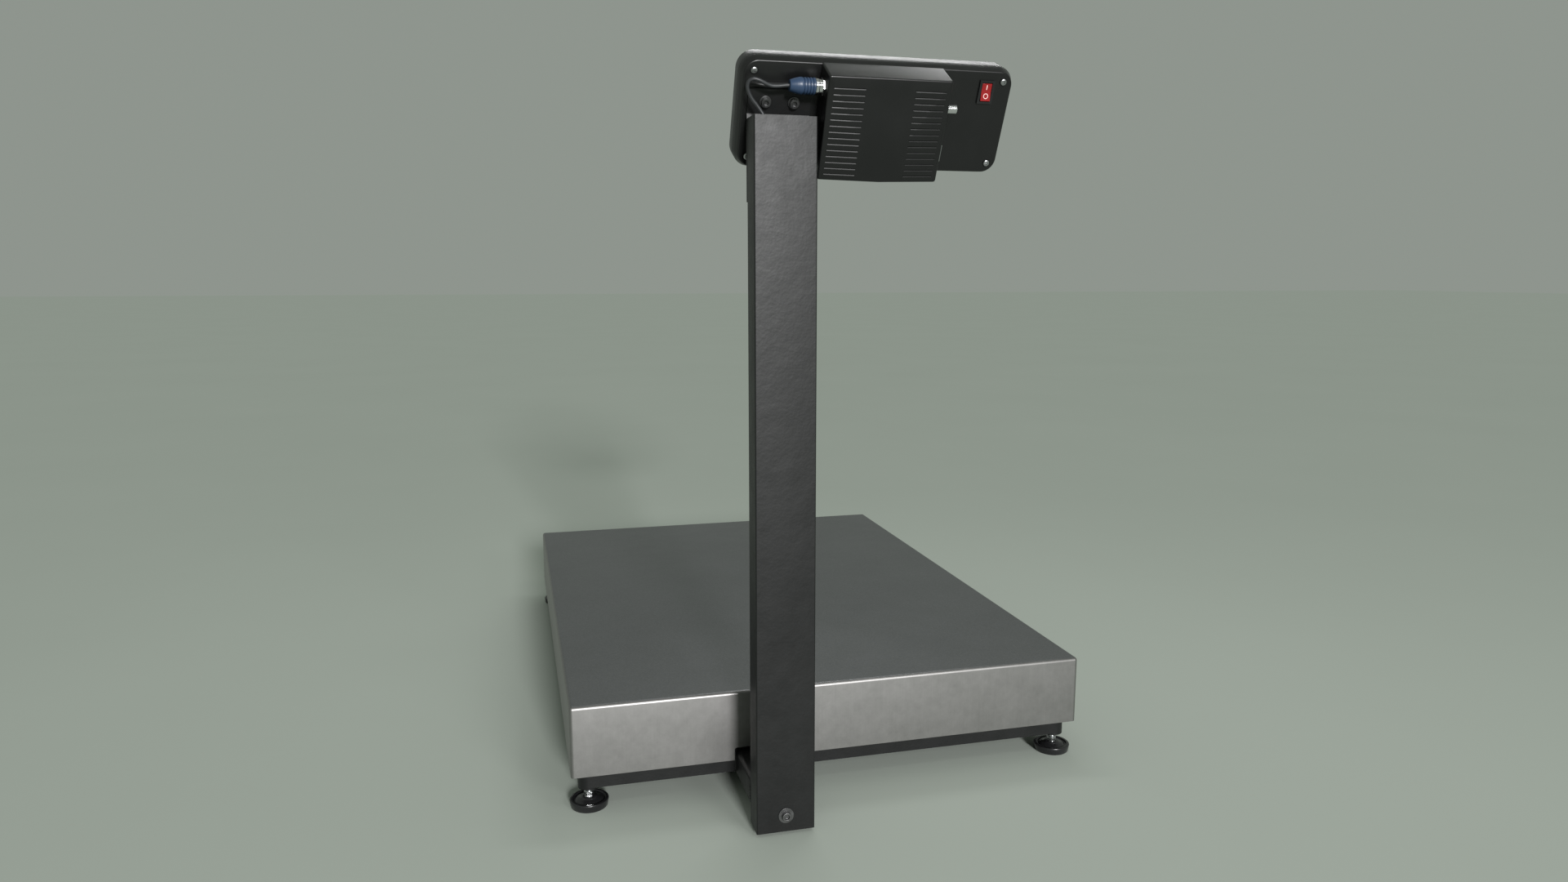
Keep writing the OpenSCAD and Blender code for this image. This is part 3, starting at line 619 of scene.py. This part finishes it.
def arc(centre, radius, start, end, steps):
    """(inset, z) points along an arc, angles in degrees."""
    out = []
    for k in range(steps + 1):
        a = math.radians(start + (end - start) * k / steps)
        out.append((centre[0] + radius * math.cos(a), centre[1] + radius * math.sin(a)))
    return out


def make_rear_shell():
    bm = bmesh.new()
    path = [(6.4, 2.5), (5.8, 3.0), (2.9, 9.0), (2.5, 10.0), (0.4, 10.0), (0.4, 9.75), (0.1, 9.45)]
    path += [(0.0, 9.2), (0.0, 8.8), (1.5, 5.0), (2.9, 1.5)] + arc((4.5, 1.8), 1.8, 195, 270, 6)
    skin(bm, case_rings(path))
    piece = head_piece("rear_shell_moulding", bm, "case_black", ["rear_shell"], degrees=40)
    cutters = [mm_block(13.4, 19.8, 0.5, -2, 4, ROCKER_X, ROCKER_Y)]
    cutters += [mm_rod(4.1, -1, 0.5, x, y, 40, 3.9) for x, y in SCREW_SPOTS]
    cut(piece, in_metres(cutters))
    smooth(piece.data, 38)


def key_holes():
    return [mm_block(30.6, 16.6, 3.3, 20, 32, KEY_PITCH * (i - 2), KEY_Y) for i in range(KEY_COUNT)]


def make_front_shell():
    bm = bmesh.new()
    path = [(6.5, 26.5), (4.0, 26.0), (3.0, 24.5), (3.0, 10.0), (0.4, 10.0), (0.4, 10.25), (0.1, 10.6)]
    path += [(0.0, 10.9), (0.0, 18.0), (0.0, 25.0)] + arc((4.0, 25.0), 4.0, 180, 90, 8)[1:]
    skin(bm, case_rings(path))
    piece = head_piece("front_shell_moulding", bm, "case_front", ["front_shell"], degrees=40)
    cutters = [mm_block(196, 52, 4, 20, 32, 0, 16), mm_block(204, 60, 6, 28, 32, 0, 16)]
    cutters += [mm_block(224, 28, 5, 28.4, 32, 0, KEY_Y)]
    cutters += key_holes()
    cut(piece, in_metres(cutters))
    smooth(piece.data, 38)
    edges(piece, 0.00035)


def housing_bm(grow, depth):
    """The vented housing: a convex block with rounded edges whose back face swells at its foot."""
    bm = bmesh.new()
    w, low, high = HOUSING_W + 2 * grow, HOUSING_LOW - grow, HOUSING_HIGH + grow
    points = []
    for x, y in outline(w, high - low, 2.0, 5):
        points.append((x, y + (high + low) / 2, 0.0))
    top = high - 4.0
    round_r = 1.6
    for k in range(5):
        a = math.radians(90 * k / 4)
        inset = round_r * (1 - math.cos(a))
        z = -(depth - round_r + round_r * math.sin(a))
        for x, y in outline(w - 2 * inset, top - low - 2 * inset, 2.2, 5):
            points.append((x, y + (top + low) / 2, z))
    for k in range(4):
        a = math.radians(90 * k / 3)
        points.append((0.0, low + 1.2 * (1 - math.cos(a)), -(depth + 2.8 + 1.2 * math.sin(a))))
    made = [bm.verts.new(p) for p in points]
    bmesh.ops.convex_hull(bm, input=made)
    loose = [v for v in bm.verts if not v.link_faces]
    bmesh.ops.delete(bm, geom=loose, context="VERTS")
    return bm


def make_vent_housing():
    piece = head_piece("vent_housing_moulding", housing_bm(0, HOUSING_DEPTH), "case_black", ["vent_housing"],
                       degrees=25)
    inner = housing_bm(-2.5, 27.5)
    bmesh.ops.translate(inner, vec=(0, 0, 1.0), verts=inner.verts)
    bmesh.ops.scale(inner, vec=(MM, MM, MM), verts=inner.verts)
    cutters = [inner]
    slots = bmesh.new()
    for i in range(VENT_COUNT):
        for side in (-1, 1):
            x, y = side * VENT_X, VENT_TOP - VENT_PITCH * i
            points = [(x + px, y + py) for px, py in outline(31.5, 0.5, 0.24, 4)]
            skin(slots, [[(px, py, z) for px, py in points] for z in (-37, -25)])
    bmesh.ops.scale(slots, vec=(MM, MM, MM), verts=slots.verts)
    cutters.append(slots)
    jack = bmesh.new()
    rod(jack, 0.0043, -0.004, 0.004, 0, 0, 32)
    jack_at = Matrix.Translation((-0.062, 0.0165, -0.014)) @ Matrix.Rotation(math.pi / 2, 4, "Y")
    bmesh.ops.transform(jack, matrix=jack_at, verts=jack.verts)
    cutters.append(jack)
    port = bmesh.new()
    block(port, (-0.066, -0.0341, -0.0224), (-0.058, -0.0169, -0.0136))
    cutters.append(port)
    cut(piece, cutters)
    smooth(piece.data, 25)


def make_vent_lips():
    """Thin wedge moulded under each slot, which sheds water and catches the light."""
    bm = bmesh.new()
    wedge = ((0.48, -0.3), (0.46, 0.01), (-0.36, 0.34), (-0.46, 0.26), (-0.48, -0.3))
    for i in range(VENT_COUNT):
        for side in (-1, 1):
            x, y = side * VENT_X, VENT_TOP - VENT_PITCH * i - 0.72
            rings = []
            for k in range(17):
                along = x - 15.5 + 31.0 * k / 16
                depth = HOUSING_DEPTH + swell(along, y)
                rings.append([(along, y + dy, -depth - out) for dy, out in wedge])
            skin(bm, rings)
    head_piece("vent_lips", bm, "case_black", degrees=12)


def swell(x, y):
    """How far the housing's back stands out at a point, in millimetres."""
    sides = max(0.0, 1 - abs(x) / 60.4)
    up = max(0.0, 1 - (y + 51.3) / 97.2)
    return SWELL * min(sides, up)


def screw_dome(radius, height):
    """Domed screw head standing on z = 0, in millimetres."""
    profile = [(0, 0), (radius, 0), (radius, height * 0.35), (radius * 0.9, height * 0.72),
               (radius * 0.62, height * 0.94), (0, height)]
    bm = revolved(rounded(profile, 0.25, 3), 40)
    bm.normal_update()
    return bm


def make_case_screws():
    """Four screws with cross recesses."""
    parts = bmesh.new()
    turns = (12, 50, 33, 71)
    head = screw_dome(3.4, 2.0)
    mesh = bpy.data.meshes.new("screw_head")
    bmesh.ops.scale(head, vec=(MM, MM, MM), verts=head.verts)
    bmesh.ops.recalc_face_normals(head, faces=head.faces)
    head.to_mesh(mesh)
    head.free()
    holder = bpy.data.objects.new("screw_head", mesh)
    scene.collection.objects.link(holder)
    bars = []
    for turn in (0, 90):
        bar = bmesh.new()
        block(bar, (-0.0017, -0.00035, 0.0009), (0.0017, 0.00035, 0.003))
        swivel = Matrix.Rotation(math.radians(turn), 3, "Z")
        bmesh.ops.rotate(bar, cent=(0, 0, 0), matrix=swivel, verts=bar.verts)
        bars.append(bar)
    cut(holder, bars)
    for (x, y), turn in zip(SCREW_SPOTS, turns):
        copy = holder.data.copy()
        at = Matrix.Translation((x * MM, y * MM, 0.0002)) @ Matrix.Rotation(math.pi, 4, "X")
        copy.transform(at @ Matrix.Rotation(math.radians(turn), 4, "Z"))
        parts.from_mesh(copy)
        rod(parts, 0.0015, 0.0, 0.018, x * MM, y * MM, 24)
    bpy.data.objects.remove(holder)
    mesh = mesh_from(parts, "case_screws_finish", 35)
    place("case_screws_finish", mesh, "screw_steel", "base", HEAD, ["case_screws"])


def make_rocker():
    """Rocker with two lands, its I and O standing up a little."""
    bm = bmesh.new()
    profile = [(-8.2, 0.6), (-8.4, -3.2), (-8.0, -3.35), (0, -1.6), (8.1, -1.55), (8.4, -1.3),
               (8.4, 1.4), (3, 3.4), (-3, 3.2)]
    skin(bm, [[(x, y, z) for y, z in profile] for x in (-5.1, 5.1)])
    at = Matrix.Translation((ROCKER_X * MM, ROCKER_Y * MM, 0))
    piece = head_piece("rocker_cap", bm, "rocker_red", ["rocker"], "rocker", degrees=30, at=at)
    edges(piece, 0.00035, 3, 25)
    marks = bmesh.new()
    lean = math.atan2(0.05, 8.1)
    bar = bmesh.new()
    points = outline(0.9, 4.6, 0.4, 4)
    skin(bar, [[(x, y, z) for x, y in points] for z in (0.5, -0.12)])
    bmesh.ops.rotate(bar, cent=(0, 0, 0), matrix=Matrix.Rotation(lean, 3, "X"), verts=bar.verts)
    bmesh.ops.translate(bar, vec=(0, 4.7, -1.6), verts=bar.verts)
    turn = [2 * math.pi * k / 40 for k in range(40)]
    section = ((1.95, 0.5), (2.6, 0.5), (2.6, -0.12), (1.95, -0.12))
    ring = hoop([[(r * math.cos(a), r * math.sin(a), z) for a in turn] for r, z in section])
    land = math.atan2(1.75, 8.0)
    bmesh.ops.rotate(ring, cent=(0, 0, 0), matrix=Matrix.Rotation(land, 3, "X"), verts=ring.verts)
    bmesh.ops.translate(ring, vec=(0, -3.6, -1.62 - 3.6 * 1.75 / 8.0), verts=ring.verts)
    for each in (bar, ring):
        bmesh.ops.recalc_face_normals(each, faces=each.faces)
        mesh = bpy.data.meshes.new("mark")
        each.to_mesh(mesh)
        marks.from_mesh(mesh)
        each.free()
    head_piece("rocker_marks", marks, "rocker_red", body="rocker", material=MARK_PALE, at=at)


def make_display():
    """LCD with a printed surround and unlit digits, under the tinted window."""
    surround = mm_block(180, 42, 2, 24.4, 26.2, 0, 16)
    piece = head_piece("display_surround", surround, "bezel_black", ["display_module"])
    cut(piece, in_metres([mm_block(150, 30, 1.5, 25.2, 28, 0, 17)]))
    smooth(piece.data, 30)
    head_piece("display_glass", mm_block(150, 30, 1.5, 24.8, 25.6, 0, 17), "lcd_panel")
    digits = bmesh.new()
    w, h, t = 11.0, 20.0, 2.0
    for d in range(6):
        x0 = -62.5 + d * 25.0
        for y in (-h / 2, 0, h / 2):
            points = outline(w - t, t, 0.9, 2)
            skin(digits, [[(x0 + px, 17 + y + py, z) for px, py in points] for z in (25.5, 25.75)])
        for sx in (-1, 1):
            for sy in (-1, 1):
                points = outline(t, h / 2 - t, 0.9, 2)
                skin(digits, [[(x0 + sx * w / 2 + px, 17 + sy * h / 4 + py, z) for px, py in points]
                              for z in (25.5, 25.75)])
        rod(digits, 1.0, 25.5, 25.75, x0 + w / 2 + 5, 17 - h / 2, 20)
    head_piece("display_segments", digits, "lcd_panel", material=SEGMENT_DARK)
    window = head_piece("window_pane", mm_block(203.6, 59.6, 5.8, 28, 29, 0, 16), "window", ["display_window"])
    edges(window, 0.0003)
    border = mm_block(203.0, 59.0, 5.5, 27.6, 28.0, 0, 16)
    frame_piece = head_piece("window_border", border, "bezel_black")
    cut(frame_piece, in_metres([mm_block(160, 38, 3, 27, 29, 0, 17)]))


def make_keys():
    film = mm_block(223.6, 27.6, 4.8, 28.4, 29.0, 0, KEY_Y)
    piece = head_piece("keypad_film", film, "keypad_blue", ["keypad_panel"])
    cut(piece, in_metres(key_holes()))
    edges(piece, 0.0002)
    for i in range(KEY_COUNT):
        x = KEY_PITCH * (i - 2)
        bm = bmesh.new()
        rings = []
        for inset, z in ((0, 25.6), (0, 29.2), (0.25, 29.55), (0.7, 29.75), (1.6, 29.8), (6.5, 29.45)):
            points = outline(30 - 2 * inset, 16 - 2 * inset, max(3 - inset * 0.6, 0.5), 8)
            rings.append([(x + px, KEY_Y + py, z) for px, py in points])
        skin(bm, rings)
        head_piece(f"key_cap_{i + 1}", bm, "key_face", [f"key_{i + 1}"], f"key_{i + 1}")
        sides = (3, 4, 40, 3, 6)[i]
        start = -math.pi / 2 if i == 3 else math.pi / 2
        turn = [start + 2 * math.pi * k / sides for k in range(sides)]
        section = ((1.7, 29.4), (2.6, 29.4), (2.6, 29.62), (1.7, 29.62))
        mark = hoop([[(x + r * math.cos(a), KEY_Y + r * math.sin(a), z) for a in turn] for r, z in section])
        head_piece(f"key_mark_{i + 1}", mark, "keypad_blue", body=f"key_{i + 1}")


make_rear_shell()
make_front_shell()
make_vent_housing()
make_vent_lips()
make_case_screws()
make_rocker()
make_display()
make_keys()

# ---- Hardware ----


def make_studs():
    """Threaded studs with a spanner hexagon."""
    for i in range(1, 5):
        low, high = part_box(f"foot_stud_{i}")
        x, y = (low.x + high.x) / 2, (low.y + high.y) / 2
        profile = [(0, low.z), (0.0046, low.z)]
        z = low.z + 0.0006
        while z < high.z - 0.0012:
            profile += [(0.0044, z), (0.005, z + 0.00055), (0.005, z + 0.00095)]
            z += 0.0015
        profile += [(0.0042, high.z), (0, high.z)]
        bm = revolved(profile, 28)
        z0 = 0.0116
        turn = [math.pi / 3 * k for k in range(6)]
        rings = []
        for r, z in ((0.0052, z0), (0.0055, z0 + 0.0004), (0.0055, z0 + 0.0052), (0.0052, z0 + 0.0056)):
            rings.append([(r * math.cos(a), r * math.sin(a), z) for a in turn])
        skin(bm, rings)
        bmesh.ops.translate(bm, vec=(x, y, 0), verts=bm.verts)
        place(f"stud_thread_{i}", mesh_from(bm, f"stud_thread_{i}", 30), "stud_chrome", f"foot_stud_{i}",
              stands_for=[f"foot_stud_{i}"])


def make_welds():
    """Weld beads where the frame's tubes and the arm meet."""
    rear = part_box("rear_rail")[1]
    arm_low, arm_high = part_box("arm")
    seams = []
    for x in (arm_low.x, arm_high.x):
        seams.append([(x, rear.y, arm_low.z + 0.002), (x, rear.y, arm_high.z - 0.005)])
    seams.append([(arm_low.x + 0.006, rear.y, arm_high.z), (arm_high.x - 0.006, rear.y, arm_high.z)])
    for x in (arm_low.x + 0.0005, arm_high.x - 0.0005):
        y = arm_high.y - 0.0004
        seams.append([(x, y, arm_low.z + 0.003), (x, y, arm_high.z - 0.006)])
    bm = bmesh.new()
    for a, b in seams:
        a, b = Vector(a), Vector(b)
        along = (b - a).normalized()
        side = along.orthogonal().normalized()
        other = along.cross(side)
        count = max(int((b - a).length / 0.0011), 2)
        rings = []
        for k in range(count + 1):
            t = k / count
            swing = 0.0011 + 0.0003 * math.sin(k * 2.1) + 0.00012 * math.sin(k * 0.7)
            if k in (0, count):
                swing = 0.0004
            point = a.lerp(b, t)
            turn = [2 * math.pi * j / 10 for j in range(10)]
            rings.append([point + swing * (math.cos(a) * side + math.sin(a) * other) for a in turn])
        skin(bm, rings)
    place("weld_beads", mesh_from(bm, "weld_beads", 60), "frame_paint", "base")


def make_inner_cable():
    """The hidden stretch of the cable, rounder than its CAD tube."""
    bm = bmesh.new()
    bm.from_mesh(frame["nodes"]["cell_cable"].data)
    bmesh.ops.remove_doubles(bm, verts=bm.verts, dist=2e-6)
    bmesh.ops.dissolve_limit(bm, angle_limit=math.radians(0.5), verts=bm.verts, edges=bm.edges)
    piece = place("cell_cable_sheath", mesh_from(bm, "cell_cable_sheath", 70), "cable_sheath", "base",
                  stands_for=["cell_cable"])
    piece.modifiers.new("round", "SUBSURF").levels = 1


make_studs()
make_welds()
make_inner_cable()

SOFTENED = {
    "mast": 0.0004, "arm": 0.0004, "front_rail": 0.0008, "rear_rail": 0.0008, "left_rail": 0.0008,
    "right_rail": 0.0008, "corner_posts": 0.0004, "base_channel": 0.0008, "bridge_side_beams": 0.001,
    "bridge_crossbars": 0.001, "bridge_plate": 0.0006, "cell_upper_spacer": 0.0004, "cell_lower_spacer": 0.0004,
    "load_cell": 0.0005, "mast_cap": 0.0005, "mast_foot_plug": 0.0005, "mast_spigot": 0.0004,
    "bracket": 0.0004, "rocker_bezel": 0.0004, "battery": 0.002, "serial_port": 0.0003, "main_board": 0.0002,
    "pan_pads": 0.0008, "overload_stops": 0.0005, "power_jack": 0.0003, "panel_socket": 0.0004,
    "coupling_ring": 0.0003, "bracket_screws": 0.0005, "bracket_washers": 0.0003, "mast_bolt": 0.0005,
    "mast_washer": 0.0003, "cell_bolts": 0.0005, "bridge_bolts": 0.0005, "bracket_rivets": 0.0004,
    "foot_pad_1": 0.0002, "foot_pad_2": 0.0002, "foot_pad_3": 0.0002, "foot_pad_4": 0.0002,
}
for node, width in SOFTENED.items():
    softened(node, width)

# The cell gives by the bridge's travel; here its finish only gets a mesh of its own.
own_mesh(bpy.data.objects["load_cell_finish"])

# ---- Stage ----

FLOOR_SIZE = 30.0
SUN_ENERGY, SUN_ANGLE = 3.5, 9
SUN_TOWARDS = (-0.045, 0.965, 0.26)
SKY_COLOR, SKY_STRENGTH = (0.91, 1.0, 0.90, 1), 0.30


def make_stage():
    bm = bmesh.new()
    bmesh.ops.create_grid(bm, x_segments=1, y_segments=1, size=FLOOR_SIZE)
    mesh = mesh_from(bm, "floor")
    floor = bpy.data.objects.new("floor", mesh)
    scene.collection.objects.link(floor)
    m = Nodes("floor_pale")
    m.wear(((0.452, 0.492, 0.446), (0.462, 0.502, 0.456)), (0.9, 1.0), 1.5)
    m.set(Specular_IOR_Level=0.0)
    mesh.materials.append(m.material)


def area_light(name, direction, target, distance, width, height, power):
    data = bpy.data.lights.new(name, "AREA")
    data.shape = "RECTANGLE"
    data.size = width
    data.size_y = height
    data.energy = power
    light = bpy.data.objects.new(name, data)
    toward = Vector(direction).normalized()
    light.location = Vector(target) + toward * distance
    light.visible_camera = False
    light.rotation_mode = "QUATERNION"
    light.rotation_quaternion = toward.to_track_quat("Z", "Y")
    scene.collection.objects.link(light)


make_stage()
sun = bpy.data.lights.new("key", "SUN")
sun.energy = SUN_ENERGY
sun.angle = math.radians(SUN_ANGLE)
sun_object = bpy.data.objects.new("key", sun)
sun_object.rotation_mode = "QUATERNION"
sun_object.rotation_quaternion = Vector(SUN_TOWARDS).to_track_quat("Z", "Y")
scene.collection.objects.link(sun_object)
area_light("far_top", (-0.275, -0.727, 0.624), (0, 0.42, 0.75), 0.9, 0.75, 0.08, 2.4)
area_light("edge", (-0.30, 0.93, 0.22), (0, 0.4, 0.75), 2.5, 0.5, 0.4, 9)
area_light("ridge", (-0.33, 0.62, 0.71), (0, 0.4, 0.75), 2.0, 0.3, 0.2, 2.2)

world = bpy.data.worlds.new("studio")
world.use_nodes = True
sky = world.node_tree.nodes["Background"]
sky.inputs["Color"].default_value = SKY_COLOR
sky.inputs["Strength"].default_value = SKY_STRENGTH
scene.world = world
scene.view_settings.view_transform = "Standard"
